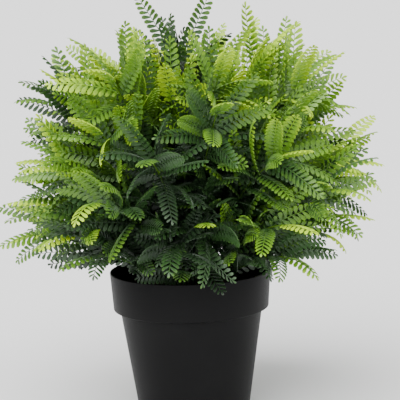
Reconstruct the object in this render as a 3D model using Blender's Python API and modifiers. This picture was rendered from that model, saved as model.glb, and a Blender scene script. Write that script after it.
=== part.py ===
"""Potted maidenhair fern: a tapered plastic pot, its compost, a rooted crown and eight tiers of fronds.

Metres, +Z up. The origin is the centre of the pot's flat underside.
"""

import math
import random

import bmesh
import bpy
import mathutils

OBJECT_NAME = "potted_maidenhair_fern"

# Pot, measured on its outside
POT_HEIGHT = 0.110
RIM_DIAMETER = 0.120
BAND_HEIGHT = 0.028
BAND_DRAFT = 0.002          # the band's radius shrinks by this much down its height
BAND_STEP = 0.005           # the band stands out from the body by this much
STEP_HEIGHT = 0.0016        # height of the sloping shoulder under the band
BASE_DIAMETER = 0.082
BASE_CHAMFER = 0.0015
POT_WALL = 0.0016
POT_SIDES = 48

# Drain holes in the base, in a ring that leaves the middle solid
DRAIN_COUNT = 6
DRAIN_RING_RADIUS = 0.026
DRAIN_DIAMETER = 0.008
DRAIN_SIDES = 12

# Compost and crown
FIT_GAP = 0.0003            # clearance between pieces that touch
HEADSPACE = 0.012           # from the rim's top down to the compost
CROWN_DIAMETER = 0.056
CROWN_FOOT_DIAMETER = 0.036
CROWN_DEPTH = 0.008         # how deep the crown sits in the compost
CROWN_RISE = 0.005          # how far its middle stands above the compost
CROWN_ARC_STEPS = 5
CROWN_SIDES = 32

# Fronds
FROND_THICKNESS = 0.0012
STALK_WIDTH = 0.0022
BARE_STALK = 0.20           # share of a frond's length that carries no leaflets
PAIR_SPACING = 0.0120       # between leaflet pairs along the midrib
LEAFLET_WIDTH = 0.0094      # measured along the midrib
LEAFLET_TIP_WIDTH = 0.0036
LEAFLET_REACH = 0.040       # longest sideways reach of a leaflet
FOOT_REACH = 0.65           # share of it at the blade's foot, which grows by FOOT_GROWTH up the blade
FOOT_GROWTH = 1.5
END_REACH = 0.80            # share of it at the blade's end, which grows by END_GROWTH back down
END_GROWTH = 0.8
LEAFLET_LEAN = math.radians(44)   # between the midrib and a leaflet
END_LEAFLET_WIDTH = 0.0090
END_LEAFLET_LENGTH = 0.038
END_LEAFLET_BELLY = 0.35    # share of its length at which it is widest
FORKED_FRONDS = (57,)       # fronds that end in two long leaflets instead of one
FORK_LENGTH = 0.062
FORK_LEAN = math.radians(26)   # between the midrib and each of the two
FORK_BUD_LENGTH = 0.010     # of the midrib's end between the two
NEIGHBOUR_GAP = 0.0030      # kept on each side between fronds of one tier
WIDEST_SECTOR = math.radians(60)   # on each side of a frond
BEND_GROWTH = 1.5           # the bend gathers towards the tip as this power of the length
GUIDE_STEPS = 18
FROND_SEED = 11
AZIMUTH_PLAY = 0.10         # random turn of a frond, as a share of the spacing in its tier
ROLL_PLAY = math.radians(7)
RISE_PLAY = math.radians(2.5)
LENGTH_PLAY = 0.07

# Tiers, from the outer skirt to the top: frond count, azimuth of the first frond in degrees, place on
# the crown as a share of its radius, rise of the stalk in degrees, bend to the tip in degrees, length
TIERS = (
    (7, 12, 0.86, 36, 62, 0.127),
    (8, 34, 0.75, 45, 60, 0.142),
    (8, 10, 0.64, 54, 58, 0.158),
    (8, 32, 0.53, 62, 54, 0.176),
    (8, 8, 0.42, 68, 46, 0.196),
    (7, 30, 0.31, 74, 40, 0.204),
    (7, 5, 0.20, 82, 32, 0.196),
    (4, -2, 0.10, 87, 18, 0.206),
)
# Fronds that reach out or tuck in: frond number to its extra length share and extra rise in degrees
ODD_FRONDS = {
    1: (-0.10, 0),
    3: (-0.10, 0),
    4: (0.02, 0),
    5: (-0.18, 4),
    6: (-0.42, 6),
    7: (-0.10, 3),
    8: (0.08, 0),
    11: (-0.10, 0),
    12: (-0.09, 0),
    13: (-0.28, 3),
    15: (-0.06, 0),
    16: (0.08, 0),
    20: (-0.10, 0),
    22: (-0.25, 0),
    23: (0.02, -1),
    27: (-0.14, 0),
    28: (-0.08, 0),
    31: (-0.16, 0),
    32: (-0.10, 0),
    36: (0.05, 6),
    40: (-0.05, 0),
    43: (-0.08, 0),
    46: (0.04, -2),
    47: (0.06, -3),
    48: (-0.08, 0),
    49: (-0.10, 0),
    50: (-0.04, 0),
    53: (-0.06, 0),
    54: (-0.30, 0),
    55: (-0.16, 0),
    56: (-0.12, 0),
    57: (0.09, 0),
}
TIER_COLOURS = ((0.020, 0.075, 0.022), (0.150, 0.420, 0.030))   # darkest skirt, brightest top

COMPOST_TOP = POT_HEIGHT - HEADSPACE
QUARTER_TURN = math.pi / 2


def clear_scene():
    for item in list(bpy.data.objects):
        bpy.data.objects.remove(item, do_unlink=True)


def new_collection(name):
    collection = bpy.data.collections.new(name)
    bpy.context.scene.collection.children.link(collection)
    return collection


def material(name, colour, roughness):
    """A plain non-metal finish."""
    finish = bpy.data.materials.new(name)
    finish.use_nodes = True
    surface = finish.node_tree.nodes["Principled BSDF"]
    surface.inputs["Base Color"].default_value = (*colour, 1.0)
    surface.inputs["Roughness"].default_value = roughness
    surface.inputs["Metallic"].default_value = 0.0
    return finish


def add_object(name, data, collection, finish=None):
    item = bpy.data.objects.new(name, data)
    collection.objects.link(item)
    if finish:
        data.materials.append(finish)
    return item


def make_helper(item):
    """Marks a cutter or a guide, which shapes a piece and isn't one."""
    item.hide_render = True
    item.display_type = "WIRE"


# Turned pieces

def pot_outline():
    """The outside of the pot as (radius, height), from the rim's top down to the axis."""
    rim = RIM_DIAMETER / 2
    base = BASE_DIAMETER / 2
    band_foot = POT_HEIGHT - BAND_HEIGHT
    return [
        (rim, POT_HEIGHT),
        (rim - BAND_DRAFT, band_foot),
        (rim - BAND_DRAFT - BAND_STEP, band_foot - STEP_HEIGHT),
        (base, BASE_CHAMFER),
        (base - BASE_CHAMFER, 0.0),
        (0.0, 0.0),
    ]


def inset(outline, distance):
    """The outline moved inwards by distance, with mitred corners. Its ends stay at the rim and the axis."""
    normals = []
    for (r0, z0), (r1, z1) in zip(outline, outline[1:]):
        length = math.hypot(r1 - r0, z1 - z0)
        normals.append(((z1 - z0) / length, (r0 - r1) / length))
    moved = [(outline[0][0] + distance * normals[0][0], outline[0][1])]
    for (r, z), (ar, az), (br, bz) in zip(outline[1:-1], normals, normals[1:]):
        share = distance / (1.0 + ar * br + az * bz)
        moved.append((r + (ar + br) * share, z + (az + bz) * share))
    moved.append((0.0, outline[-1][1] + distance * normals[-1][1]))
    return moved


def cut_below(outline, height):
    """The part of a falling outline that lies below height, starting exactly on it."""
    for index, ((r0, z0), (r1, z1)) in enumerate(zip(outline, outline[1:])):
        if z0 >= height > z1:
            share = (z0 - height) / (z0 - z1)
            return [(r0 + (r1 - r0) * share, height)] + outline[index + 1:]
    return outline


def turned(name, profile, sides, collection, finish):
    """A solid of revolution from (radius, height) points that run down its outer side."""
    mesh = bpy.data.meshes.new(name)
    shape = bmesh.new()
    corners = [shape.verts.new((r, 0.0, z)) for r, z in profile]
    for upper, lower in zip(corners, corners[1:]):
        shape.edges.new((upper, lower))
    shape.to_mesh(mesh)
    shape.free()
    item = add_object(name, mesh, collection, finish)
    screw = item.modifiers.new("turn", "SCREW")
    screw.steps = sides
    screw.render_steps = sides
    screw.use_merge_vertices = True
    screw.merge_threshold = 0.0001
    screw.use_smooth_shade = True
    return item


def drain_cutter(collection):
    """Round pegs through the base, one for each drain hole."""
    mesh = bpy.data.meshes.new("drain_cutter")
    shape = bmesh.new()
    for index in range(DRAIN_COUNT):
        peg = bmesh.ops.create_cone(
            shape,
            cap_ends=True,
            segments=DRAIN_SIDES,
            radius1=DRAIN_DIAMETER / 2,
            radius2=DRAIN_DIAMETER / 2,
            depth=4 * POT_WALL,
        )
        angle = 2 * math.pi * index / DRAIN_COUNT
        place = (DRAIN_RING_RADIUS * math.cos(angle), DRAIN_RING_RADIUS * math.sin(angle), POT_WALL / 2)
        bmesh.ops.translate(shape, verts=peg["verts"], vec=place)
    shape.to_mesh(mesh)
    shape.free()
    cutter = add_object("drain_cutter", mesh, collection)
    make_helper(cutter)
    return cutter


def make_pot(collection, helpers):
    outer = pot_outline()
    inner = inset(outer, POT_WALL)
    finish = material("pot_plastic", (0.016, 0.016, 0.017), 0.55)
    pot = turned("pot", inner[::-1] + outer, POT_SIDES, collection, finish)
    drains = pot.modifiers.new("drains", "BOOLEAN")
    drains.operation = "DIFFERENCE"
    drains.object = drain_cutter(helpers)
    return pot


def crown_height(radius):
    """Height of the crown's domed top at a distance from the axis."""
    share = radius / (CROWN_DIAMETER / 2)
    return COMPOST_TOP + CROWN_RISE * (1.0 - share * share)


def make_compost(collection):
    """Fills the pot to the compost's level, with a dish that the crown sits in."""
    side = cut_below(inset(pot_outline(), POT_WALL + FIT_GAP), COMPOST_TOP)
    dish = [
        (0.0, COMPOST_TOP - CROWN_DEPTH - FIT_GAP),
        (CROWN_FOOT_DIAMETER / 2 + FIT_GAP, COMPOST_TOP - CROWN_DEPTH - FIT_GAP),
        (CROWN_DIAMETER / 2 + FIT_GAP, COMPOST_TOP),
    ]
    finish = material("compost", (0.030, 0.020, 0.013), 0.95)
    return turned("compost", dish + side, POT_SIDES, collection, finish)


def make_crown(collection):
    edge = CROWN_DIAMETER / 2
    radii = [edge * step / CROWN_ARC_STEPS for step in range(CROWN_ARC_STEPS + 1)]
    profile = [(r, crown_height(r)) for r in radii]
    profile.append((CROWN_FOOT_DIAMETER / 2, COMPOST_TOP - CROWN_DEPTH))
    profile.append((0.0, COMPOST_TOP - CROWN_DEPTH))
    finish = material("crown", (0.050, 0.028, 0.014), 0.90)
    return turned("crown", profile, CROWN_SIDES, collection, finish)


# Fronds

def arch(place, rise, bend, length):
    """Points (radius, height) along a frond's midrib, which leaves the crown at rise and bends over."""
    radius = place * CROWN_DIAMETER / 2
    height = crown_height(radius) + FIT_GAP + FROND_THICKNESS / 2 * math.cos(rise)
    points = [(radius, height)]
    stride = length / GUIDE_STEPS
    for step in range(GUIDE_STEPS):
        angle = rise - bend * ((step + 0.5) / GUIDE_STEPS) ** BEND_GROWTH
        radius += stride * math.cos(angle)
        height += stride * math.sin(angle)
        points.append((radius, height))
    return points


def radius_at(points, length, distance):
    """Distance from the pot's axis at a distance along the midrib."""
    place = min(max(distance / length, 0.0), 1.0) * (len(points) - 1)
    index = min(int(place), len(points) - 2)
    share = place - index
    return points[index][0] * (1.0 - share) + points[index + 1][0] * share


def leaflet_plan(points, length, sector, end_length):
    """Leaflet pairs as (start along the midrib, length, lean), kept inside the frond's sector."""
    start = BARE_STALK * length
    pairs = int((length - end_length - start) / PAIR_SPACING)
    plan = []
    for index in range(pairs):
        along = start + index * PAIR_SPACING
        share = (index + 0.5) / pairs
        foot = min(1.0, FOOT_REACH + FOOT_GROWTH * share)
        end = min(1.0, END_REACH + END_GROWTH * (1.0 - share))
        room = radius_at(points, length, along) * math.tan(sector) - NEIGHBOUR_GAP
        reach = min(LEAFLET_REACH * foot * end, room)
        plan.append((along, reach / math.sin(LEAFLET_LEAN), LEAFLET_LEAN))
    return plan


def extrude_edge(shape, edge):
    """Grows a face from an edge and returns its two new corners and the far edge."""
    grown = bmesh.ops.extrude_edge_only(shape, edges=[edge])["geom"]
    corners = [part for part in grown if isinstance(part, bmesh.types.BMVert)]
    return corners, shape.edges.get(corners)


def grow_strip(shape, edge, station, width):
    """Carries the midrib on to a station. Returns its new end, and its side edges as (side, edge)."""
    start = {math.copysign(1, corner.co.z): corner for corner in edge.verts}
    corners, far = extrude_edge(shape, edge)
    sides = []
    for corner in corners:
        side = math.copysign(1, corner.co.z)
        corner.co.x = station
        corner.co.z = side * width / 2
        sides.append((side, shape.edges.get((start[side], corner))))
    return far, sides


def grow_leaflet(shape, edge, side, length, lean):
    """Grows one tapering leaflet from a stretch of the midrib's edge, at a lean from the midrib."""
    middle = sum(corner.co.x for corner in edge.verts) / 2
    corners, _ = extrude_edge(shape, edge)
    for corner in corners:
        ahead = math.copysign(LEAFLET_TIP_WIDTH / 2, corner.co.x - middle)
        corner.co.x = middle + length * math.cos(lean) + ahead * math.sin(lean)
        corner.co.z = side * (STALK_WIDTH / 2 + length * math.sin(lean))
        corner.co.z -= side * ahead * math.cos(lean)


def flat_frond(name, length, plan, end_width, roll):
    """The frond laid flat along +X and rolled about its midrib: a strip with leaflets along its sides."""
    shape = bmesh.new()
    foot = [shape.verts.new((0.0, 0.0, side * STALK_WIDTH / 2)) for side in (-1, 1)]
    edge = shape.edges.new(foot)
    edge, _ = grow_strip(shape, edge, BARE_STALK * length / 2, STALK_WIDTH)
    joints = []
    for along, leaflet_length, lean in plan:
        edge, _ = grow_strip(shape, edge, along, STALK_WIDTH)
        edge, sides = grow_strip(shape, edge, along + LEAFLET_WIDTH, STALK_WIDTH)
        joints.extend((side_edge, side, leaflet_length, lean) for side, side_edge in sides)
    end_foot = plan[-1][0] + PAIR_SPACING
    belly = end_foot + END_LEAFLET_BELLY * (length - end_foot)
    edge, _ = grow_strip(shape, edge, end_foot, STALK_WIDTH)
    edge, _ = grow_strip(shape, edge, belly, end_width)
    grow_strip(shape, edge, length, LEAFLET_TIP_WIDTH)
    for joint in joints:
        grow_leaflet(shape, *joint)
    bmesh.ops.recalc_face_normals(shape, faces=shape.faces)
    bmesh.ops.rotate(shape, verts=shape.verts, matrix=mathutils.Matrix.Rotation(roll, 3, "X"))
    mesh = bpy.data.meshes.new(name)
    shape.to_mesh(mesh)
    shape.free()
    return mesh


def make_guide(name, points, collection):
    """The flat curve that a frond is bent along."""
    curve = bpy.data.curves.new(name, "CURVE")
    curve.dimensions = "2D"
    spline = curve.splines.new("POLY")
    spline.points.add(len(points) - 1)
    for corner, (radius, height) in zip(spline.points, points):
        corner.co = (radius, height, 0.0, 1.0)
    guide = add_object(name, curve, collection)
    make_helper(guide)
    return guide


def make_frond(number, tier, azimuth, play, collection, helpers, finish):
    """One whole frond: stalk, midrib and leaflets, bent over from the crown."""
    name = f"frond_{number:02d}"
    count, _, place, rise, bend, length = tier
    extra_length, extra_rise = ODD_FRONDS.get(number, (0.0, 0.0))
    length *= (1.0 + LENGTH_PLAY * play.uniform(-1, 1)) * (1.0 + extra_length)
    rise = math.radians(rise + extra_rise) + RISE_PLAY * play.uniform(-1, 1)
    roll = ROLL_PLAY * play.uniform(-1, 1)
    points = arch(place, rise, math.radians(bend), length)
    sector = min(WIDEST_SECTOR, math.pi / count * (1.0 - AZIMUTH_PLAY))
    end_width = END_LEAFLET_WIDTH
    if number in FORKED_FRONDS:
        plan = leaflet_plan(points, length, sector, FORK_LENGTH)
        plan.append((plan[-1][0] + PAIR_SPACING, FORK_LENGTH, FORK_LEAN))
        length = plan[-1][0] + PAIR_SPACING + FORK_BUD_LENGTH
        end_width = LEAFLET_TIP_WIDTH
    else:
        plan = leaflet_plan(points, length, sector, END_LEAFLET_LENGTH)
    frond = add_object(name, flat_frond(name, length, plan, end_width, roll), collection, finish)
    guide = make_guide(name + "_guide", points, helpers)
    for item in (frond, guide):
        item.rotation_euler = (QUARTER_TURN, 0.0, azimuth)
    solid = frond.modifiers.new("thickness", "SOLIDIFY")
    solid.thickness = FROND_THICKNESS
    solid.offset = 0.0
    bending = frond.modifiers.new("arch", "CURVE")
    bending.object = guide
    bending.deform_axis = "POS_X"
    return frond


def tier_colour(share):
    darkest, brightest = TIER_COLOURS
    return tuple(low + (high - low) * share for low, high in zip(darkest, brightest))


def make_fronds(collection, helpers):
    play = random.Random(FROND_SEED)
    number = 0
    for index, tier in enumerate(TIERS):
        count, first, *_ = tier
        finish = material(f"leaf_tier_{index + 1}", tier_colour(index / (len(TIERS) - 1)), 0.45)
        for place in range(count):
            number += 1
            turn = place + AZIMUTH_PLAY * play.uniform(-1, 1)
            azimuth = math.radians(first) + 2 * math.pi * turn / count
            make_frond(number, tier, azimuth, play, collection, helpers, finish)


def main():
    clear_scene()
    parts = new_collection(OBJECT_NAME)
    helpers = new_collection("helpers")
    make_pot(parts, helpers)
    make_compost(parts)
    make_crown(parts)
    make_fronds(parts, helpers)


main()
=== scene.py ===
"""Potted maidenhair fern: a matt plastic pot, its compost, a scaly crown and 57 feathery fronds.

Metres, +Z up. The origin is the centre of the pot's flat underside. A piece keeps its place in its mesh.
"""

import math
import random

import bmesh
import bpy
import numpy as np
from bpy.props import FloatProperty, FloatVectorProperty, IntProperty, PointerProperty
from mathutils import Matrix, Vector


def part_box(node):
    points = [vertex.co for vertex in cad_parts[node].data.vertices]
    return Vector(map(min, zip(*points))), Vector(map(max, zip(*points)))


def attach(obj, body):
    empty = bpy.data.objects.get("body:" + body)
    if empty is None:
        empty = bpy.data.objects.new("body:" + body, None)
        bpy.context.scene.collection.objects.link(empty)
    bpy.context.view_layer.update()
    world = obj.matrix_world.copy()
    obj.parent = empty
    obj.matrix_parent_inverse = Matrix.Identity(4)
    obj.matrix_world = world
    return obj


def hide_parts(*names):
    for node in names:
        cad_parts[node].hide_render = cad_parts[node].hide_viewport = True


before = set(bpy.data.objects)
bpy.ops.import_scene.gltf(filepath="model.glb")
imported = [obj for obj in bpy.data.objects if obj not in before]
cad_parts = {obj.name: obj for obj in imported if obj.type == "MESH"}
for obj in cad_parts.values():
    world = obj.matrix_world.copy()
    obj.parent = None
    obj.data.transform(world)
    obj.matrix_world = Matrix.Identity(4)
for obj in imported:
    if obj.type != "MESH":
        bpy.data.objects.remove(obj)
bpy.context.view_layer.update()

bl_info = {
    "name": "Potted Maidenhair Fern",
    "version": (1, 0, 0),
    "blender": (4, 5, 0),
    "location": "3D View > Sidebar > Fern",
    "description": "Builds a bushy potted fern piece by piece",
    "category": "Add Mesh",
}

BODY = "root"
AXIS = (0.0, 0.0, 1.0)
ORIGIN = (0.0, 0.0, 0.0)
QUARTER_TURN = math.pi / 2
FULL_TURN = 2 * math.pi
GOLDEN_ANGLE = math.pi * (3 - math.sqrt(5))

# Sizes that come from the frame
POT_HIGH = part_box("pot")[1]
POT_HEIGHT = POT_HIGH.z
RIM_RADIUS = POT_HIGH.x
COMPOST_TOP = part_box("compost")[1].z
CROWN_LOW, CROWN_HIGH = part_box("crown")
CROWN_RADIUS = CROWN_HIGH.x
CROWN_TOP = CROWN_HIGH.z

# The frame's other sizes, which its boxes don't give
BAND_HEIGHT = 0.028
BAND_DRAFT = 0.002          # the band's radius shrinks by this much down its height
BAND_STEP = 0.005           # the band stands out from the body by this much
STEP_HEIGHT = 0.0016        # height of the sloping shoulder under the band
BASE_RADIUS = 0.041
BASE_CHAMFER = 0.0015
POT_WALL = 0.0016
DRAIN_COUNT = 6
DRAIN_RING_RADIUS = 0.026
DRAIN_DIAMETER = 0.008
FIT_GAP = 0.0003            # clearance between pieces that touch
CROWN_FOOT_RADIUS = 0.018
FROND_THICKNESS = 0.0012
STALK_WIDTH = 0.0022
LEAFLET_WIDTH = 0.0094      # measured along the midrib
LEAFLET_REACH = 0.040       # longest sideways reach of a leaflet
FOOT_GROWTH = 1.5           # gain of a leaflet's reach from the blade's foot up, as a share
LEAFLET_LEAN = math.radians(44)   # between the midrib and a leaflet
END_LEAFLET_LENGTH = 0.038
FORKED_FRONDS = (57,)       # fronds that end in two long leaflets instead of one
FORK_LENGTH = 0.062
FORK_LEAN = math.radians(26)      # between the midrib and each of the two
NEIGHBOUR_GAP = 0.0030      # kept on each side between fronds of one tier
WIDEST_SECTOR = math.radians(60)  # on each side of a frond
BEND_GROWTH = 1.5           # the bend gathers towards the tip as this power of the length
GUIDE_STEPS = 18
FROND_SEED = 11
AZIMUTH_PLAY = 0.10         # random turn of a frond, as a share of the spacing in its tier
ROLL_PLAY = math.radians(7)
RISE_PLAY = math.radians(2.5)
LENGTH_PLAY = 0.07

# Pot, compost and crown
PLASTIC_GLOSS = 0.08        # specular level, low for a plastic, as its grain is too fine to model
FLAT_EDGE = 0.001           # kept free of lumps at the edges, so that they still fit their neighbours

# Tiers, from the outer skirt to the top: frond count, azimuth of the first frond in degrees, place on
# the crown as a share of its radius, rise of the stalk in degrees, bend to the tip in degrees, length
TIERS = (
    (7, 12, 0.86, 36, 62, 0.127),
    (8, 34, 0.75, 45, 60, 0.142),
    (8, 10, 0.64, 54, 58, 0.158),
    (8, 32, 0.53, 62, 54, 0.176),
    (8, 8, 0.42, 68, 46, 0.196),
    (7, 30, 0.31, 74, 40, 0.204),
    (7, 5, 0.20, 82, 32, 0.196),
    (4, -2, 0.10, 87, 18, 0.206),
)
# Fronds that reach out or tuck in: frond number to its extra length share and extra rise in degrees
ODD_FRONDS = {
    1: (-0.10, 0),
    3: (-0.10, 0),
    4: (0.02, 0),
    5: (-0.18, 4),
    6: (-0.42, 6),
    7: (-0.10, 3),
    8: (0.08, 0),
    11: (-0.10, 0),
    12: (-0.09, 0),
    13: (-0.28, 3),
    15: (-0.06, 0),
    16: (0.08, 0),
    20: (-0.10, 0),
    22: (-0.25, 0),
    23: (0.02, -1),
    27: (-0.14, 0),
    28: (-0.08, 0),
    31: (-0.16, 0),
    32: (-0.10, 0),
    36: (0.05, 6),
    40: (-0.05, 0),
    43: (-0.08, 0),
    46: (0.04, -2),
    47: (0.06, -3),
    48: (-0.08, 0),
    49: (-0.10, 0),
    50: (-0.04, 0),
    53: (-0.06, 0),
    54: (-0.30, 0),
    55: (-0.16, 0),
    56: (-0.12, 0),
    57: (0.09, 0),
}

# Where the fine fronds are fuller than the frame's
BARE_STALK = 0.17           # share of a frond's length that carries no leaflets
PAIR_SPACING = 0.0100       # between leaflet nodes along the midrib
FOOT_REACH = 0.75           # share of the longest reach at the blade's foot
END_REACH = 0.90            # share of it at the blade's end, which grows by END_GROWTH back down
END_GROWTH = 0.6
LEAST_REACH = 0.038         # past which neighbouring fronds' leaflets interleave
FORK_BUD_LENGTH = 0.020     # of the midrib's end between a fork's two leaflets

# Modelled leaflets, by pinnule pairs and droop. The fronds are made of copies of them.
PAIR_COUNTS = (4, 5, 6, 7, 8, 9, 10, 11, 12, 13, 15)
DROOPS = tuple(math.radians(angle) for angle in (6, 24, 46))
LEAFLET_RIB_RADIUS = 0.00042
# Outline of a lobe: from and to, as shares of its length, and how much a disc is widened there
LOBE_WIDTHS = ((0.0, 0.45, 0.76), (0.55, 1.0, 1.08), (0.85, 1.0, 1.30))

# Rows of leaflets round the midrib, as angles in degrees around it
MIDDLE_ROW = 32             # the middle row lies within this on either side
SIDE_ROWS_START = 40        # the two side rows lie between this
SIDE_ROWS_END = 105         # and this in the lowest tier
SIDE_ROWS_GAIN = 30         # by which they reach further round in the topmost tier
BACK_ROW = (150, 210)
BACK_ROW_CHANCE = 0.4       # of a leaflet in the back row
BACK_ROW_START = 0.2        # share of the way up past which tiers have a back row
PLACE_PLAY = 0.003          # random shift of a leaflet along the midrib
LEAN_PLAY = 8               # in degrees
TWIST_PLAY = 85             # of a leaflet about its own rib, in degrees
SIZE_PLAY = (0.85, 1.05)

# Tone of the leaves, 0 for the darkest to 1 for the brightest. Besides the leaves' own greens, it holds
# painted light and painted shade.
FROND_TONE = 0.04
HEIGHT_PAINTED_LIGHT = 0.16          # painted light, gained from the lowest tier to the topmost, as the light falls on the top of the bush
FROND_TONE_PLAY = 0.15
FOOT_TONE_AND_SHADE = -0.16           # of leaflets at a frond's foot: painted shade deep in the bush, and partly the frond's own darker green
ALONG_TONE_AND_SHADE = 0.92           # gained along a frond, as the painted shade of the bush's inside lifts and the green freshens
LEAFLET_TONE_PLAY = 0.16
END_TONE = 0.72             # of a frond's end leaflet
LEAFLET_TONE_GAIN = 0.28    # gained along one leaflet
# Fronds given extra tone, mostly painted light and shade: darker for fronds in the bush's shaded hollows,
# lighter for fronds that catch the light. Frond number to its extra tone
FROND_LIGHT_AND_SHADE = {
    1: 0.10, 4: 0.15, 5: -0.15, 6: -0.40, 7: -0.15, 8: 0.12, 11: 0.10, 12: 0.20, 13: -0.40,
    14: 0.10, 15: 0.15, 16: 0.10, 19: 0.10, 20: 0.15, 21: 0.03, 22: -0.12, 23: 0.06, 27: 0.12,
    28: 0.18, 29: -0.50, 30: 0.05, 31: 0.12, 36: -0.25, 37: 0.14, 38: -0.24, 39: -0.06, 40: 0.10,
    43: 0.12, 44: 0.10, 45: 0.10, 46: 0.10, 47: 0.22, 49: 0.10, 50: 0.14, 51: 0.10, 52: 0.18,
    53: 0.08, 54: -0.05, 55: -0.05, 56: 0.05, 57: -0.42,
}

# Studio
FLOOR_SIZE = 80.0
FLOOR_COLOUR = (0.95, 0.95, 0.95, 1.0)
CAMERA_TARGET = (0.009, 0.0, 0.162)
SENSOR_WIDTH = 36.0


# Settings that a user would change

class FERN_PG_pot(bpy.types.PropertyGroup):
    """Sizes and finish of the pot"""

    sides: IntProperty(name="Sides", description="Flat faces round the pot", default=160, min=24)
    lip: FloatProperty(
        name="Lip", description="Rounding of the pot's edges", default=0.0006, unit="LENGTH",
    )
    plastic: FloatVectorProperty(
        name="Plastic", description="Colour of the plastic", default=(0.0050, 0.0050, 0.0052, 1.0),
        size=4, subtype="COLOR", min=0.0, max=1.0,
    )
    roughness: FloatProperty(
        name="Roughness", description="How matt the plastic is", default=0.46, min=0.0, max=1.0,
    )


class FERN_PG_compost(bpy.types.PropertyGroup):
    """Sizes and finish of the compost and the crown"""

    crumbs: IntProperty(name="Crumbs", description="Loose crumbs on the compost", default=420, min=0)
    crumb_size: FloatProperty(
        name="Crumb size", description="Width of a crumb", default=0.0022, unit="LENGTH",
    )
    lumps: FloatProperty(
        name="Lumps", description="Height of the compost's lumps", default=0.0016, unit="LENGTH",
    )
    soil: FloatVectorProperty(
        name="Soil", description="Colour of the damp compost", default=(0.022, 0.014, 0.009, 1.0),
        size=4, subtype="COLOR", min=0.0, max=1.0,
    )
    scales: IntProperty(name="Scales", description="Papery scales on the crown", default=170, min=0)
    scale_length: FloatProperty(
        name="Scale length", description="Length of a scale", default=0.0052, unit="LENGTH",
    )
    bark: FloatVectorProperty(
        name="Bark", description="Colour of the crown", default=(0.060, 0.030, 0.013, 1.0),
        size=4, subtype="COLOR", min=0.0, max=1.0,
    )


class FERN_PG_frond(bpy.types.PropertyGroup):
    """Sizes and finish of the fronds"""

    pinnule_length: FloatProperty(
        name="Pinnule length", description="Length of one lobe", default=0.0080, unit="LENGTH",
    )
    pinnule_width: FloatProperty(
        name="Pinnule width", description="Width of one lobe", default=0.0033, unit="LENGTH",
    )
    pinnule_depth: FloatProperty(
        name="Pinnule depth", description="Thickness of one lobe", default=0.0004, unit="LENGTH",
    )
    pinnule_spacing: FloatProperty(
        name="Pinnule spacing", description="Between lobes on a rib", default=0.0041, unit="LENGTH",
    )
    pinnule_lean: FloatProperty(
        name="Pinnule lean", description="Between a lobe and its rib",
        default=math.radians(62), subtype="ANGLE",
    )
    pinnule_fold: FloatProperty(
        name="Pinnule fold", description="How far the lobes hang below their rib",
        default=math.radians(9), subtype="ANGLE",
    )
    shade: FloatVectorProperty(
        name="Shade", description="Darkest, bluish green", default=(0.0115, 0.0280, 0.0100, 1.0),
        size=4, subtype="COLOR", min=0.0, max=1.0,
    )
    deep: FloatVectorProperty(
        name="Deep", description="Deep green", default=(0.029, 0.082, 0.017, 1.0),
        size=4, subtype="COLOR", min=0.0, max=1.0,
    )
    fresh: FloatVectorProperty(
        name="Fresh", description="Fresh green", default=(0.136, 0.294, 0.012, 1.0),
        size=4, subtype="COLOR", min=0.0, max=1.0,
    )
    lime: FloatVectorProperty(
        name="Lime", description="Brightest, yellowish green", default=(0.510, 0.760, 0.014, 1.0),
        size=4, subtype="COLOR", min=0.0, max=1.0,
    )


class FERN_PG_stage(bpy.types.PropertyGroup):
    """Lights and camera"""

    key: FloatProperty(
        name="Key light", description="Strength of the overhead softbox", default=5.6, min=0.0,
    )
    fill: FloatProperty(
        name="Fill light", description="Strength of the side softbox", default=0.9, min=0.0,
    )
    sky: FloatProperty(
        name="Sky", description="Strength of the white surroundings", default=0.55, min=0.0,
    )
    distance: FloatProperty(
        name="Distance", description="From the camera to the plant", default=1.2, unit="LENGTH",
    )
    elevation: FloatProperty(
        name="Elevation", description="How far the camera looks down",
        default=math.radians(8.5), subtype="ANGLE",
    )
    tilt: FloatProperty(
        name="Tilt", description="Roll of the camera", default=math.radians(-1.8), subtype="ANGLE",
    )
    lens: FloatProperty(name="Lens", description="Focal length in millimetres", default=145.5, min=1.0)


# Selecting and shaping

def deselect():
    bpy.ops.object.select_all(action="DESELECT")


def select_only(item):
    deselect()
    item.select_set(True)
    bpy.context.view_layer.objects.active = item


def edit(item):
    select_only(item)
    bpy.ops.object.mode_set(mode="EDIT")
    bpy.ops.mesh.select_mode(type="VERT")


def leave_edit():
    bpy.ops.object.mode_set(mode="OBJECT")


def pick(test):
    """In edit mode, selects the vertices whose place passes the test, and the edges and faces between."""
    data = bpy.context.active_object.data
    shape = bmesh.from_edit_mesh(data)
    for corner in shape.verts:
        corner.select_set(bool(test(corner.co)))
    shape.select_flush_mode()
    bmesh.update_edit_mesh(data)


def move(x, y, z):
    bpy.ops.transform.translate(value=(x, y, z))


def stretch(x, y, z):
    bpy.ops.transform.resize(value=(x, y, z), center_override=ORIGIN)


def outward():
    """In edit mode, welds the seams and turns every face outwards."""
    bpy.ops.mesh.select_all(action="SELECT")
    bpy.ops.mesh.remove_doubles(threshold=0.00001)
    bpy.ops.mesh.normals_make_consistent(inside=False)


def apply_modifiers(item):
    select_only(item)
    for modifier in list(item.modifiers):
        bpy.ops.object.modifier_apply(modifier=modifier.name)


def apply_place(item):
    select_only(item)
    bpy.ops.object.transform_apply(location=True, rotation=True, scale=True)


def smooth(item, degrees):
    select_only(item)
    bpy.ops.object.shade_smooth_by_angle(angle=math.radians(degrees))


def join(items, name):
    deselect()
    for item in items:
        item.select_set(True)
    bpy.context.view_layer.objects.active = items[0]
    bpy.ops.object.join()
    joined = bpy.context.active_object
    joined.name = name
    joined.data.name = name
    return joined


def copy_of(item, place):
    """A copy with its own mesh, standing at the given matrix."""
    twin = item.copy()
    twin.data = item.data.copy()
    twin.matrix_world = place
    bpy.context.scene.collection.objects.link(twin)
    return twin


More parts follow.
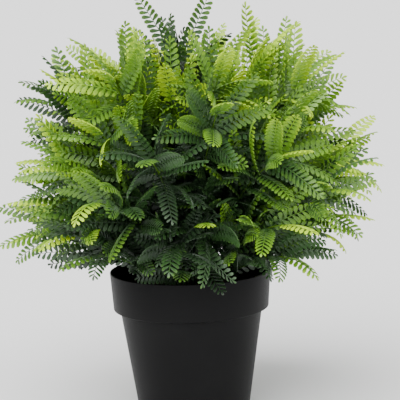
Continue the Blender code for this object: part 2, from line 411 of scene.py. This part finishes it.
def drop(items):
    for item in items:
        bpy.data.objects.remove(item, do_unlink=True)


def finish_piece(item, node):
    """Rides the piece on the body, in place of its node."""
    apply_place(item)
    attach(item, BODY)
    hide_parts(node)


def bend(item, angle):
    """Bends the item, which lies along +X, about Z."""
    bending = item.modifiers.new("bend", "SIMPLE_DEFORM")
    bending.deform_method = "BEND"
    bending.deform_axis = "Z"
    bending.angle = angle
    apply_modifiers(item)


def turn(name, outline, sides):
    """A closed solid of revolution: a point extruded along the outline, spun round the axis and welded."""
    deselect()
    radius, height = outline[0]
    bpy.ops.mesh.primitive_plane_add(size=0.001, calc_uvs=False, location=(radius, 0.0, height))
    item = bpy.context.active_object
    item.name = name
    apply_place(item)
    edit(item)
    bpy.ops.mesh.select_all(action="SELECT")
    bpy.ops.mesh.merge(type="CENTER")
    for (r0, z0), (r1, z1) in zip(outline, outline[1:]):
        bpy.ops.mesh.extrude_region_move(TRANSFORM_OT_translate={"value": (r1 - r0, 0.0, z1 - z0)})
    bpy.ops.mesh.select_all(action="SELECT")
    bpy.ops.mesh.spin(steps=sides, angle=FULL_TURN, center=ORIGIN, axis=AXIS)
    outward()
    leave_edit()
    return item


# Finishes

class Finish:
    """A node material under construction: a Principled surface and short ways to add nodes to it."""

    def __init__(self, name, roughness):
        self.material = bpy.data.materials.new(name)
        self.material.use_nodes = True
        self.tree = self.material.node_tree
        self.surface = self.tree.nodes["Principled BSDF"]
        self.surface.inputs["Roughness"].default_value = roughness

    def add(self, kind, **sockets):
        node = self.tree.nodes.new(kind)
        for socket, value in sockets.items():
            node.inputs[socket.replace("_", " ")].default_value = value
        return node

    def link(self, source, target):
        self.tree.links.new(source, target)

    def object_place(self):
        return self.add("ShaderNodeTexCoord").outputs["Object"]

    def noise(self, scale, detail=4.0, roughness=0.55):
        """Noise over the object's own coordinates, with about scale cells to the metre."""
        node = self.add("ShaderNodeTexNoise", Scale=scale, Detail=detail, Roughness=roughness)
        self.link(self.object_place(), node.inputs["Vector"])
        return node.outputs["Fac"]

    def ramp(self, factor, *stops):
        """A colour ramp from (position, colour) stops."""
        node = self.add("ShaderNodeValToRGB")
        elements = node.color_ramp.elements
        while len(elements) < len(stops):
            elements.new(0.5)
        for element, (position, colour) in zip(elements, stops):
            element.position = position
            element.color = tuple(colour)[:3] + (1.0,)
        self.link(factor, node.inputs["Fac"])
        return node.outputs["Color"]

    def range(self, factor, low, high):
        """Carries 0 to 1 over to low to high."""
        node = self.add("ShaderNodeMapRange", To_Min=low, To_Max=high)
        self.link(factor, node.inputs["Value"])
        return node.outputs["Result"]

    def sum(self, first, second):
        node = self.add("ShaderNodeMath")
        node.operation = "ADD"
        self.link(first, node.inputs[0])
        self.link(second, node.inputs[1])
        return node.outputs["Value"]

    def bump(self, height, distance, strength=1.0, under=None):
        node = self.add("ShaderNodeBump", Strength=strength, Distance=distance)
        self.link(height, node.inputs["Height"])
        if under:
            self.link(under, node.inputs["Normal"])
        return node.outputs["Normal"]

    def set(self, socket, source):
        self.link(source, self.surface.inputs[socket])


def shaded(colour, share):
    return tuple(channel * share for channel in tuple(colour)[:3])


def plastic_finish(pot):
    """Matt moulded plastic: a fine spark-eroded grain, slow flow marks and a breath of dust."""
    finish = Finish("pot_plastic", pot.roughness)
    flow = finish.noise(26.0, detail=3.0)
    grain = finish.noise(2600.0, detail=2.0)
    dust = finish.noise(420.0, detail=6.0, roughness=0.7)
    colour = finish.ramp(
        finish.sum(finish.range(flow, -0.1, 0.8), finish.range(dust, -0.1, 0.4)),
        (0.30, shaded(pot.plastic, 0.86)),
        (0.62, shaded(pot.plastic, 1.05)),
        (0.86, shaded(pot.plastic, 1.55)),
    )
    finish.surface.inputs["Specular IOR Level"].default_value = PLASTIC_GLOSS
    finish.set("Base Color", colour)
    finish.set("Roughness", finish.range(dust, pot.roughness - 0.06, pot.roughness + 0.10))
    finish.set("Normal", finish.bump(grain, 0.00006, under=finish.bump(flow, 0.0006, strength=0.35)))
    return finish.material


def compost_finish(compost):
    """Damp crumbly compost, from near black to bark brown."""
    finish = Finish("compost", 0.92)
    lumps = finish.noise(420.0, detail=8.0, roughness=0.65)
    specks = finish.noise(1700.0, detail=3.0)
    colour = finish.ramp(
        finish.sum(finish.range(lumps, 0.0, 0.65), finish.range(specks, 0.0, 0.35)),
        (0.34, shaded(compost.soil, 0.30)),
        (0.50, shaded(compost.soil, 1.0)),
        (0.66, shaded(compost.soil, 2.6)),
    )
    finish.set("Base Color", colour)
    finish.set("Roughness", finish.range(specks, 0.80, 1.0))
    finish.set("Normal", finish.bump(lumps, 0.0007, under=finish.bump(specks, 0.0003)))
    return finish.material


def crown_finish(compost):
    """Brown papery scales over a woody rhizome."""
    finish = Finish("crown", 0.82)
    streaks = finish.noise(900.0, detail=6.0, roughness=0.6)
    patches = finish.noise(160.0, detail=3.0)
    colour = finish.ramp(
        finish.sum(finish.range(streaks, 0.0, 0.55), finish.range(patches, 0.0, 0.45)),
        (0.34, shaded(compost.bark, 0.35)),
        (0.52, shaded(compost.bark, 1.0)),
        (0.68, shaded(compost.bark, 2.2)),
    )
    finish.set("Base Color", colour)
    finish.set("Normal", finish.bump(streaks, 0.0003))
    return finish.material


def leaf_finish(frond):
    """Leaf green that brightens with the growth map's tone, towards each lobe's end and in mottles."""
    finish = Finish("fern_leaf", 0.40)
    growth = finish.add("ShaderNodeUVMap")
    growth.uv_map = "growth"
    split = finish.add("ShaderNodeSeparateXYZ")
    finish.link(growth.outputs["UV"], split.inputs["Vector"])
    mottle = finish.noise(330.0, detail=4.0)
    skin = finish.noise(2400.0, detail=3.0)
    # The growth map's tone carries painted shade inside the bush and painted light on its top, besides the
    # leaves' own greens
    tone = finish.sum(split.outputs["Y"], finish.range(split.outputs["X"], -0.10, 0.08))
    tone = finish.sum(tone, finish.range(mottle, -0.16, 0.16))
    finish.set("Base Color", finish.ramp(
        tone, (0.0, frond.shade), (0.38, frond.deep), (0.70, frond.fresh), (1.0, frond.lime),
    ))
    finish.set("Roughness", finish.range(skin, 0.30, 0.46))
    finish.set("Normal", finish.bump(skin, 0.00010, under=finish.bump(mottle, 0.00035)))
    return finish.material


def stalk_finish(frond):
    """Wiry green stalk, darker and browner in streaks towards its foot."""
    finish = Finish("fern_stalk", 0.38)
    growth = finish.add("ShaderNodeUVMap")
    growth.uv_map = "growth"
    split = finish.add("ShaderNodeSeparateXYZ")
    finish.link(growth.outputs["UV"], split.inputs["Vector"])
    streaks = finish.noise(700.0, detail=4.0)
    tone = finish.sum(split.outputs["Y"], finish.range(streaks, -0.15, 0.15))
    finish.set("Base Color", finish.ramp(
        tone,
        (0.0, (0.016, 0.012, 0.006)),
        (0.30, shaded(frond.deep, 0.45)),
        (1.0, shaded(frond.fresh, 0.85)),
    ))
    finish.set("Normal", finish.bump(streaks, 0.00015))
    return finish.material


# Pot

def pot_outline():
    """The outside of the pot as (radius, height), from the rim's top down to the axis."""
    band_foot = POT_HEIGHT - BAND_HEIGHT
    return [
        (RIM_RADIUS, POT_HEIGHT),
        (RIM_RADIUS - BAND_DRAFT, band_foot),
        (RIM_RADIUS - BAND_DRAFT - BAND_STEP, band_foot - STEP_HEIGHT),
        (BASE_RADIUS, BASE_CHAMFER),
        (BASE_RADIUS - BASE_CHAMFER, 0.0),
        (0.0, 0.0),
    ]


def inset(outline, distance):
    """The outline moved inwards by distance, with mitred corners. Its ends stay at the rim and the axis."""
    normals = []
    for (r0, z0), (r1, z1) in zip(outline, outline[1:]):
        length = math.hypot(r1 - r0, z1 - z0)
        normals.append(((z1 - z0) / length, (r0 - r1) / length))
    moved = [(outline[0][0] + distance * normals[0][0], outline[0][1])]
    for (r, z), (ar, az), (br, bz) in zip(outline[1:-1], normals, normals[1:]):
        share = distance / (1.0 + ar * br + az * bz)
        moved.append((r + (ar + br) * share, z + (az + bz) * share))
    moved.append((0.0, outline[-1][1] + distance * normals[-1][1]))
    return moved


def cut_below(outline, height):
    """The part of a falling outline that lies below height, starting exactly on it."""
    for index, ((r0, z0), (r1, z1)) in enumerate(zip(outline, outline[1:])):
        if z0 >= height > z1:
            share = (z0 - height) / (z0 - z1)
            return [(r0 + (r1 - r0) * share, height)] + outline[index + 1:]
    return outline


def drain_pegs():
    """Round pegs through the base, one for each drain hole, as one cutter."""
    pegs = []
    for index in range(DRAIN_COUNT):
        angle = FULL_TURN * index / DRAIN_COUNT
        place = (DRAIN_RING_RADIUS * math.cos(angle), DRAIN_RING_RADIUS * math.sin(angle), POT_WALL / 2)
        bpy.ops.mesh.primitive_cylinder_add(
            vertices=32, radius=DRAIN_DIAMETER / 2, depth=4 * POT_WALL, calc_uvs=False, location=place,
        )
        pegs.append(bpy.context.active_object)
    return join(pegs, "drain_pegs")


def make_pot(pot):
    outer = pot_outline()
    item = turn("fern_pot", inset(outer, POT_WALL)[::-1] + outer, pot.sides)
    rounding = item.modifiers.new("rounding", "BEVEL")
    rounding.width = pot.lip
    rounding.segments = 3
    rounding.limit_method = "ANGLE"
    rounding.angle_limit = math.radians(24)
    pegs = drain_pegs()
    drains = item.modifiers.new("drains", "BOOLEAN")
    drains.operation = "DIFFERENCE"
    drains.object = pegs
    apply_modifiers(item)
    drop([pegs])
    smooth(item, 30)
    item.data.materials.append(plastic_finish(pot))
    return item


# Compost and crown

def crown_height(radius):
    """Height of the crown's domed top at a distance from the axis."""
    share = radius / CROWN_RADIUS
    return COMPOST_TOP + (CROWN_TOP - COMPOST_TOP) * (1.0 - share * share)


def lump(item, name, size, height, group=None):
    """Raises soft lumps of about the given size on the item, or on the vertices of one group."""
    clouds = bpy.data.textures.new(name, "CLOUDS")
    clouds.noise_scale = size
    clouds.noise_depth = 3
    lumps = item.modifiers.new(name, "DISPLACE")
    lumps.texture = clouds
    lumps.texture_coords = "GLOBAL"
    lumps.direction = "Z"
    lumps.mid_level = 0.5
    lumps.strength = height
    if group:
        lumps.vertex_group = group
    apply_modifiers(item)


def steps_between(first, last, count):
    return [first + (last - first) * step / count for step in range(1, count + 1)]


def make_crumb(size):
    """One rough crumb of compost."""
    deselect()
    bpy.ops.mesh.primitive_ico_sphere_add(subdivisions=1, radius=size / 2, calc_uvs=False)
    crumb = bpy.context.active_object
    edit(crumb)
    bpy.ops.mesh.select_all(action="SELECT")
    bpy.ops.mesh.subdivide(number_cuts=1, smoothness=0.6)
    bpy.ops.transform.vertex_random(offset=size * 0.16, uniform=1.0, seed=3)
    bpy.ops.transform.resize(value=(1.0, 0.8, 0.62))
    outward()
    leave_edit()
    return crumb


def make_compost(compost):
    """The fill of the pot, lumpy on top, with crumbs and bark chips lying on it."""
    side = cut_below(inset(pot_outline(), POT_WALL + FIT_GAP), COMPOST_TOP)
    edge = CROWN_RADIUS + FIT_GAP
    dish_floor = CROWN_LOW.z - FIT_GAP
    dish = [(0.0, dish_floor), (CROWN_FOOT_RADIUS + FIT_GAP, dish_floor), (edge, COMPOST_TOP)]
    top = [(radius, COMPOST_TOP) for radius in steps_between(edge, side[0][0], 14)]
    item = turn("fern_compost", dish + top + side[1:], sides=120)
    group = item.vertex_groups.new(name="top")
    chosen = [
        corner.index for corner in item.data.vertices
        if corner.co.z > COMPOST_TOP - 0.0001
        and edge + FLAT_EDGE < corner.co.xy.length < side[0][0] - FLAT_EDGE
    ]
    group.add(chosen, 1.0, "REPLACE")
    lump(item, "lumps", size=0.006, height=2 * compost.lumps, group="top")
    play = random.Random(5)
    crumb = make_crumb(compost.crumb_size)
    parts = [item]
    for _ in range(compost.crumbs):
        radius = math.sqrt(play.uniform((edge + 0.002) ** 2, (side[0][0] - 0.003) ** 2))
        angle = play.uniform(0, FULL_TURN)
        size = play.uniform(0.4, 1.3)
        longer = play.choice((1.0, 1.0, 1.2, 2.1))
        place = (
            Matrix.Translation((radius * math.cos(angle), radius * math.sin(angle), COMPOST_TOP + 0.0004))
            @ Matrix.Rotation(play.uniform(0, FULL_TURN), 4, "Z")
            @ Matrix.Rotation(play.uniform(-0.5, 0.5), 4, "X")
            @ Matrix.Diagonal((size * longer, size, size, 1.0))
        )
        parts.append(copy_of(crumb, place))
    drop([crumb])
    item = join(parts, "fern_compost")
    smooth(item, 50)
    item.data.materials.append(compost_finish(compost))
    return item


def make_scale(length):
    """One papery scale along +X: a pointed plate, thin, with its end curling up."""
    deselect()
    bpy.ops.mesh.primitive_cylinder_add(
        vertices=8, radius=length / 2, depth=length * 0.05, end_fill_type="TRIFAN", calc_uvs=False,
        location=(length / 2, 0.0, 0.0),
    )
    scale = bpy.context.active_object
    apply_place(scale)
    edit(scale)
    bpy.ops.mesh.select_all(action="SELECT")
    stretch(1.0, 0.42, 1.0)
    pick(lambda place: place.x > 0.9 * length)
    stretch(1.15, 0.2, 1.0)
    move(0.0, 0.0, 0.22 * length)
    pick(lambda place: 0.6 * length < place.x < 0.9 * length)
    move(0.0, 0.0, 0.07 * length)
    leave_edit()
    return scale


def make_crown(compost):
    """The domed rhizome, rough, with scales in a spiral over it."""
    rim = [(radius, crown_height(radius)) for radius in steps_between(0.0, CROWN_RADIUS, 12)]
    foot = [(CROWN_FOOT_RADIUS, CROWN_LOW.z), (0.0, CROWN_LOW.z)]
    item = turn("fern_crown", [(0.0, CROWN_TOP)] + rim + foot, sides=72)
    group = item.vertex_groups.new(name="top")
    chosen = [
        corner.index for corner in item.data.vertices
        if corner.co.z > COMPOST_TOP and corner.co.xy.length < CROWN_RADIUS - FLAT_EDGE
    ]
    group.add(chosen, 1.0, "REPLACE")
    lump(item, "knots", size=0.004, height=0.0009, group="top")
    play = random.Random(8)
    scale = make_scale(compost.scale_length)
    parts = [item]
    for index in range(compost.scales):
        radius = CROWN_RADIUS * 0.96 * math.sqrt((index + 0.5) / compost.scales)
        azimuth = index * GOLDEN_ANGLE + play.uniform(-0.3, 0.3)
        slope = math.atan(2 * (CROWN_TOP - COMPOST_TOP) * radius / CROWN_RADIUS ** 2)
        size = play.uniform(0.7, 1.2)
        place = (
            Matrix.Rotation(azimuth, 4, "Z")
            @ Matrix.Translation((radius - 0.002, 0.0, crown_height(radius) - 0.0001))
            @ Matrix.Rotation(slope - play.uniform(0.05, 0.35), 4, "Y")
            @ Matrix.Rotation(play.uniform(-0.5, 0.5), 4, "Z")
            @ Matrix.Scale(size, 4)
        )
        parts.append(copy_of(scale, place))
    drop([scale])
    item = join(parts, "fern_crown")
    smooth(item, 40)
    item.data.materials.append(crown_finish(compost))
    return item


# Fronds. Leaflets and fronds are modelled flat along +X in the XZ plane, with their upper side towards +Y.

def map_growth(mesh, length):
    """Adds the growth map: how far along a lobe each corner lies, and a tone that is painted later."""
    layer = mesh.uv_layers.new(name="growth")
    for loop, uv in zip(mesh.loops, layer.data):
        uv.uv = (mesh.vertices[loop.vertex_index].co.x / length, 0.5)


def paint(mesh, tone, gain):
    """Sets the tone of the growth map, which changes by gain from the item's foot to its end."""
    count = len(mesh.loops)
    places = np.empty(3 * len(mesh.vertices), np.float32)
    mesh.vertices.foreach_get("co", places)
    along = places[::3]
    corners = np.empty(count, np.int32)
    mesh.loops.foreach_get("vertex_index", corners)
    layer = mesh.uv_layers["growth"]
    values = np.empty(2 * count, np.float32)
    layer.data.foreach_get("uv", values)
    share = np.clip(along / along.max(), 0.0, 1.0)[corners]
    values[1::2] = np.clip(tone + gain * (share - 0.5), 0.0, 1.0)
    layer.data.foreach_set("uv", values)


def make_pinnule(frond, finish):
    """One lobe along +X: a thin disc made a blunt oblong, with a raised middle and a drooping end."""
    deselect()
    length = frond.pinnule_length
    bpy.ops.mesh.primitive_cylinder_add(
        vertices=8, radius=0.5, depth=1.0, end_fill_type="TRIFAN", calc_uvs=False,
        location=(0.5, 0.0, 0.0), rotation=(QUARTER_TURN, FULL_TURN / 16, 0.0),
    )
    pinnule = bpy.context.active_object
    apply_place(pinnule)
    edit(pinnule)
    bpy.ops.mesh.select_all(action="SELECT")
    stretch(length, frond.pinnule_depth, frond.pinnule_width)
    for start, end, widening in LOBE_WIDTHS:
        pick(lambda place: start * length < place.x < end * length)
        stretch(1.0, 1.0, widening)
    pick(lambda place: abs(place.x - 0.5 * length) < 0.01 * length and abs(place.z) < 0.01 * length)
    move(0.0, 0.06 * length, 0.0)
    pick(lambda place: place.x > 0.85 * length)
    move(-0.04 * length, -0.10 * length, 0.0)
    leave_edit()
    map_growth(pinnule.data, length)
    smooth(pinnule, 50)
    pinnule.data.materials.append(finish)
    return pinnule


def make_rib(name, length, radius, taper, cuts, sides, finish):
    """A round rib along +X that thins to a taper share of its width, cut along it so that it can bend."""
    deselect()
    bpy.ops.mesh.primitive_cylinder_add(
        vertices=sides, radius=radius, depth=length, calc_uvs=False,
        location=(length / 2, 0.0, 0.0), rotation=(0.0, QUARTER_TURN, 0.0),
    )
    rib = bpy.context.active_object
    rib.name = name
    apply_place(rib)
    edit(rib)
    bpy.ops.mesh.select_mode(type="EDGE")
    shape = bmesh.from_edit_mesh(rib.data)
    for edge in shape.edges:
        edge.select_set(abs(edge.verts[0].co.x - edge.verts[1].co.x) > 0.5 * length)
    bmesh.update_edit_mesh(rib.data)
    bpy.ops.mesh.subdivide(number_cuts=cuts)
    leave_edit()
    for corner in rib.data.vertices:
        thinned = 1.0 - (1.0 - taper) * corner.co.x / length
        corner.co.y *= thinned
        corner.co.z *= thinned
    map_growth(rib.data, length)
    smooth(rib, 60)
    rib.data.materials.append(finish)
    return rib


def make_leaflet(frond, pinnule, pairs, droop, leaf):
    """One ribbon-like leaflet: a rib with two rows of lobes that stay long almost to its blunt end."""
    spacing = frond.pinnule_spacing
    length = pairs * spacing
    cuts = max(4, pairs // 2)
    parts = [make_rib("leaflet", length, LEAFLET_RIB_RADIUS, taper=0.45, cuts=cuts, sides=5, finish=leaf)]
    # The lobes reach full size soon after the foot and shrink only near the end, where they lean forward
    for index in range(pairs):
        share = index / (pairs - 1)
        size = min(1.0, 0.70 + 1.8 * share) * (1.0 - 0.42 * share ** 6)
        lean = frond.pinnule_lean * (1.0 - 0.15 * share ** 3)
        for side in (1, -1):
            along = (index + (0.30 if side > 0 else 0.55)) * spacing
            place = (
                Matrix.Translation((along, 0.0, 0.0))
                @ Matrix.Rotation(side * frond.pinnule_fold, 4, "X")
                @ Matrix.Rotation(-side * lean, 4, "Y")
                @ Matrix.Rotation(side * math.radians(12), 4, "X")
                @ Matrix.Diagonal((size, size, side * size, 1.0))
            )
            parts.append(copy_of(pinnule, place))
    end = Matrix.Translation((length - 0.3 * spacing, 0.0, 0.0)) @ Matrix.Scale(0.55, 4)
    parts.append(copy_of(pinnule, end))
    leaflet = join(parts, f"leaflet_{pairs}")
    edit(leaflet)
    bpy.ops.mesh.select_all(action="SELECT")
    bpy.ops.mesh.normals_make_consistent(inside=False)
    leave_edit()
    bend(leaflet, -droop)
    leaflet["reach"] = length + 0.4 * frond.pinnule_length
    return leaflet


def make_leaflets(frond, leaf):
    """The leaflets that fronds are made from, by pinnule pairs and droop."""
    pinnule = make_pinnule(frond, leaf)
    leaflets = {
        (pairs, droop): make_leaflet(frond, pinnule, pairs, droop, leaf)
        for pairs in PAIR_COUNTS
        for droop in DROOPS
    }
    drop([pinnule])
    return leaflets


def arch(place, rise, bend_over, length):
    """Points (radius, height) along a frond's midrib, which leaves the crown at rise and bends over."""
    radius = place * CROWN_RADIUS
    height = crown_height(radius) + FIT_GAP + FROND_THICKNESS / 2 * math.cos(rise)
    points = [(radius, height)]
    stride = length / GUIDE_STEPS
    for step in range(GUIDE_STEPS):
        angle = rise - bend_over * ((step + 0.5) / GUIDE_STEPS) ** BEND_GROWTH
        radius += stride * math.cos(angle)
        height += stride * math.sin(angle)
        points.append((radius, height))
    return points


def radius_at(points, length, distance):
    """Distance from the pot's axis at a distance along the midrib."""
    place = min(max(distance / length, 0.0), 1.0) * (len(points) - 1)
    index = min(int(place), len(points) - 2)
    share = place - index
    return points[index][0] * (1.0 - share) + points[index + 1][0] * share


def leaflet_plan(points, length, sector, end_length):
    """The leaflet nodes as (place along the midrib, length of the leaflets there)."""
    start = BARE_STALK * length
    pairs = int((length - end_length - start) / PAIR_SPACING)
    plan = []
    for index in range(pairs):
        along = start + index * PAIR_SPACING
        share = (index + 0.5) / pairs
        foot = min(1.0, FOOT_REACH + FOOT_GROWTH * share)
        end = min(1.0, END_REACH + END_GROWTH * (1.0 - share))
        room = radius_at(points, length, along) * math.tan(sector) - NEIGHBOUR_GAP
        reach = min(LEAFLET_REACH * foot * end, max(room, LEAST_REACH))
        plan.append((along, reach / math.sin(LEAFLET_LEAN)))
    return plan


def frond_layouts():
    """Each frond: number, share of the way up, midrib points, length, end length, plan, azimuth, roll."""
    play = random.Random(FROND_SEED)
    number = 0
    for index, (count, first, place, rise, bend_over, tier_length) in enumerate(TIERS):
        for step in range(count):
            number += 1
            extra_length, extra_rise = ODD_FRONDS.get(number, (0.0, 0.0))
            azimuth = math.radians(first) + FULL_TURN * (step + AZIMUTH_PLAY * play.uniform(-1, 1)) / count
            length = tier_length * (1.0 + LENGTH_PLAY * play.uniform(-1, 1)) * (1.0 + extra_length)
            start_rise = math.radians(rise + extra_rise) + RISE_PLAY * play.uniform(-1, 1)
            roll = ROLL_PLAY * play.uniform(-1, 1)
            points = arch(place, start_rise, math.radians(bend_over), length)
            sector = min(WIDEST_SECTOR, math.pi / count * (1.0 - AZIMUTH_PLAY))
            end_length = FORK_LENGTH if number in FORKED_FRONDS else END_LEAFLET_LENGTH
            plan = leaflet_plan(points, length, sector, end_length)
            yield number, index / (len(TIERS) - 1), points, length, end_length, plan, azimuth, roll


def add_leaflet(leaflets, along, length, around, lean, twist, play, tone):
    """A painted copy of the nearest modelled leaflet, turned around the midrib, leaning and twisted."""
    droop = play.choice(DROOPS)
    source = min(
        (leaflets[pairs, droop] for pairs in PAIR_COUNTS),
        key=lambda leaflet: abs(leaflet["reach"] - length),
    )
    size = length / source["reach"]
    place = (
        Matrix.Translation((along, 0.0, 0.0))
        @ Matrix.Rotation(around, 4, "X")
        @ Matrix.Rotation(lean, 4, "Z")
        @ Matrix.Rotation(twist - around, 4, "X")
        @ Matrix.Diagonal((size, size, min(size, 1.12), 1.0))
    )
    leaflet = copy_of(source, place)
    paint(leaflet.data, tone, gain=LEAFLET_TONE_GAIN)
    return leaflet


def bend_over_guide(frond, points, azimuth, roll):
    """Rolls the flat frond, bends it along its arch and turns it to its azimuth."""
    frond.rotation_euler = (roll, 0.0, 0.0)
    apply_place(frond)
    curve = bpy.data.curves.new("arch", "CURVE")
    curve.dimensions = "2D"
    spline = curve.splines.new("POLY")
    spline.points.add(len(points) - 1)
    for corner, (radius, height) in zip(spline.points, points):
        corner.co = (radius, height, 0.0, 1.0)
    guide = bpy.data.objects.new("arch", curve)
    bpy.context.scene.collection.objects.link(guide)
    bending = frond.modifiers.new("arch", "CURVE")
    bending.object = guide
    bending.deform_axis = "POS_X"
    apply_modifiers(frond)
    drop([guide])
    frond.rotation_euler = (QUARTER_TURN, 0.0, azimuth)
    apply_place(frond)


def row_angles(play, height_share):
    """Angles around the midrib, in degrees, of the leaflets at one node."""
    end = SIDE_ROWS_END + SIDE_ROWS_GAIN * height_share
    rows = [
        play.uniform(SIDE_ROWS_START, end),
        play.uniform(-end, -SIDE_ROWS_START),
        play.uniform(-MIDDLE_ROW, MIDDLE_ROW),
    ]
    if play.random() < BACK_ROW_CHANCE and height_share > BACK_ROW_START:
        rows.append(play.uniform(*BACK_ROW))
    return rows


def make_frond(name, layout, leaflets, stalk):
    """One frond: stalk and midrib, rows of leaflets and its end leaflets, bent over along its arch."""
    number, height_share, points, length, end_length, plan, azimuth, roll = layout
    play = random.Random(FROND_SEED + 100 * number)
    # Painted light and shade: the upper tiers are painted lighter, single fronds are painted lighter where
    # lit, and others darker in the bush's shaded hollows
    frond_tone_light_and_shade = FROND_TONE + HEIGHT_PAINTED_LIGHT * height_share + play.uniform(-FROND_TONE_PLAY, FROND_TONE_PLAY)
    frond_tone_light_and_shade += FROND_LIGHT_AND_SHADE.get(number, 0.0)
    rib_length = length - 0.9 * end_length
    rib = make_rib("rib", rib_length, STALK_WIDTH / 2, taper=0.40, cuts=22, sides=7, finish=stalk)
    paint(rib.data, tone=0.45, gain=0.7)
    parts = [rib]
    for along, leaflet_length in plan:
        share = along / length
        for around in row_angles(play, height_share):
            base = along + LEAFLET_WIDTH / 2 + play.uniform(-PLACE_PLAY, PLACE_PLAY)
            lean = LEAFLET_LEAN + math.radians(play.uniform(-LEAN_PLAY, LEAN_PLAY))
            # Painted shade: a leaflet is darker the nearer it sits to the frond's foot inside the bush, and
            # partly this is the frond's own colour
            tone = FOOT_TONE_AND_SHADE + ALONG_TONE_AND_SHADE * share + frond_tone_light_and_shade
            tone += play.uniform(-LEAFLET_TONE_PLAY, LEAFLET_TONE_PLAY)
            size = leaflet_length * play.uniform(*SIZE_PLAY)
            twist = math.radians(play.uniform(-TWIST_PLAY, TWIST_PLAY))
            leaflet = add_leaflet(leaflets, base, size, math.radians(around), lean, twist, play, tone)
            parts.append(leaflet)
    ends = [(end_length, 0.0, 0.0)]
    if number in FORKED_FRONDS:
        ends = [
            (FORK_LENGTH, FORK_LEAN, -QUARTER_TURN),
            (FORK_LENGTH, FORK_LEAN, QUARTER_TURN),
            (FORK_BUD_LENGTH, 0.0, 0.0),
        ]
    base = length - end_length
    tone = END_TONE + frond_tone_light_and_shade
    for size, lean, around in ends:
        parts.append(add_leaflet(leaflets, base, size, around, lean, 0.0, play, tone))
    frond = join(parts, name)
    apply_place(frond)
    bend_over_guide(frond, points, azimuth, roll)
    return frond


# Lights

def add_softbox(lean, turned, softness, strength):
    """A soft light with, in degrees, its lean from the vertical, its turn about it and its angular size."""
    bpy.ops.object.light_add(type="SUN", rotation=(math.radians(lean), 0.0, math.radians(turned)))
    lamp = bpy.context.active_object
    lamp.name = "softbox"
    lamp.data.angle = math.radians(softness)
    lamp.data.energy = strength


# Operators

class FERN_OT_pot(bpy.types.Operator):
    """Models the moulded pot with its rim band and drain holes"""

    bl_idname = "fern.pot"
    bl_label = "Pot"

    def execute(self, context):
        finish_piece(make_pot(context.scene.fern_pot), "pot")
        return {"FINISHED"}


class FERN_OT_compost(bpy.types.Operator):
    """Models the compost with its crumbs, and the scaly crown that sits in it"""

    bl_idname = "fern.compost"
    bl_label = "Compost and crown"

    def execute(self, context):
        finish_piece(make_compost(context.scene.fern_compost), "compost")
        finish_piece(make_crown(context.scene.fern_compost), "crown")
        return {"FINISHED"}


class FERN_OT_fronds(bpy.types.Operator):
    """Models the pinnule, the leaflets and every frond"""

    bl_idname = "fern.fronds"
    bl_label = "Fronds"

    def execute(self, context):
        settings = context.scene.fern_frond
        stalk = stalk_finish(settings)
        leaflets = make_leaflets(settings, leaf_finish(settings))
        for layout in frond_layouts():
            node = f"frond_{layout[0]:02d}"
            finish_piece(make_frond(f"fern_{node}", layout, leaflets, stalk), node)
        drop(leaflets.values())
        return {"FINISHED"}


class FERN_OT_stage(bpy.types.Operator):
    """Adds the pale floor, the soft lights and the camera"""

    bl_idname = "fern.stage"
    bl_label = "Stage"

    def execute(self, context):
        settings = context.scene.fern_stage
        deselect()
        bpy.ops.mesh.primitive_plane_add(size=FLOOR_SIZE)
        floor = context.active_object
        floor.name = "floor"
        finish = Finish("floor", 0.9)
        finish.surface.inputs["Base Color"].default_value = FLOOR_COLOUR
        floor.data.materials.append(finish.material)
        world = bpy.data.worlds.new("studio")
        world.use_nodes = True
        background = world.node_tree.nodes["Background"]
        background.inputs["Color"].default_value = (1.0, 1.0, 1.0, 1.0)
        background.inputs["Strength"].default_value = settings.sky
        context.scene.world = world
        add_softbox(lean=38, turned=-25, softness=70, strength=settings.key)
        add_softbox(lean=62, turned=60, softness=60, strength=settings.fill)
        target = Vector(CAMERA_TARGET)
        away = Vector((0.0, -math.cos(settings.elevation), math.sin(settings.elevation)))
        look = (-away).to_track_quat("-Z", "Y").to_matrix().to_4x4()
        bpy.ops.object.camera_add(location=target + settings.distance * away)
        camera = context.active_object
        camera.data.lens = settings.lens
        camera.data.sensor_width = SENSOR_WIDTH
        camera.rotation_euler = (look @ Matrix.Rotation(settings.tilt, 4, "Z")).to_euler()
        context.scene.camera = camera
        return {"FINISHED"}


class FERN_PT_panel(bpy.types.Panel):
    """Lists the pieces with their settings"""

    bl_idname = "FERN_PT_panel"
    bl_label = "Potted Fern"
    bl_space_type = "VIEW_3D"
    bl_region_type = "UI"
    bl_category = "Fern"

    def draw(self, context):
        for group, operator in SECTIONS:
            box = self.layout.box()
            settings = getattr(context.scene, group)
            for setting in settings.bl_rna.properties:
                if setting.identifier not in ("rna_type", "name"):
                    box.prop(settings, setting.identifier)
            box.operator(operator)


SECTIONS = (
    ("fern_pot", "fern.pot"),
    ("fern_compost", "fern.compost"),
    ("fern_frond", "fern.fronds"),
    ("fern_stage", "fern.stage"),
)
GROUPS = (FERN_PG_pot, FERN_PG_compost, FERN_PG_frond, FERN_PG_stage)
CLASSES = GROUPS + (FERN_OT_pot, FERN_OT_compost, FERN_OT_fronds, FERN_OT_stage, FERN_PT_panel)


def register():
    for item in CLASSES:
        bpy.utils.register_class(item)
    for group, (name, _) in zip(GROUPS, SECTIONS):
        setattr(bpy.types.Scene, name, PointerProperty(type=group))


def unregister():
    for name, _ in SECTIONS:
        delattr(bpy.types.Scene, name)
    for item in reversed(CLASSES):
        bpy.utils.unregister_class(item)


def main():
    register()
    bpy.ops.fern.pot()
    bpy.ops.fern.compost()
    bpy.ops.fern.fronds()
    bpy.ops.fern.stage()


if __name__ == "__main__":
    main()
